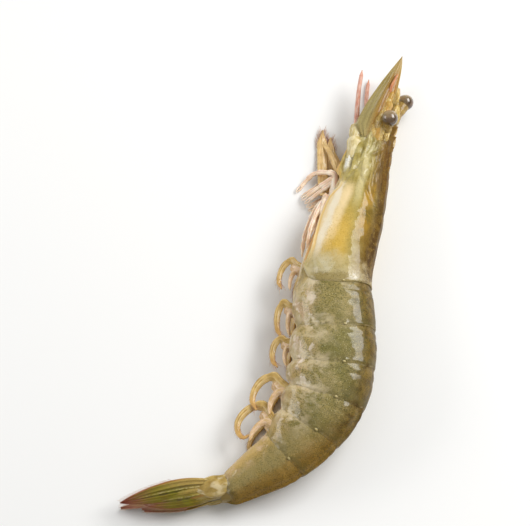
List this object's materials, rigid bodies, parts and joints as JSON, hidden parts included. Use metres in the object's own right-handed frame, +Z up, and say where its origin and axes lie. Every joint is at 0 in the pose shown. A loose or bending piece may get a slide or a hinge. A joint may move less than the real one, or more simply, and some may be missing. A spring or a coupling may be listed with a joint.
{
  "type": "raw whiteleg shrimp",
  "caption": "Whole raw whiteleg shrimp with head, legs and folded tail fan, lying on its side in a gentle curve.",
  "frame": {"origin": "middle of the bounding box, on the surface the shrimp lies on", "axes": "+Y towards the head, +X towards the back, +Z up out of the left side that faces the viewer"},
  "size_m": [0.085, 0.1356, 0.0193],
  "materials": {
    "shell": "wet, glossy, slightly translucent"
  },
  "bodies": {
    "root": {"shrimp": "shell"}
  },
  "joints": []
}
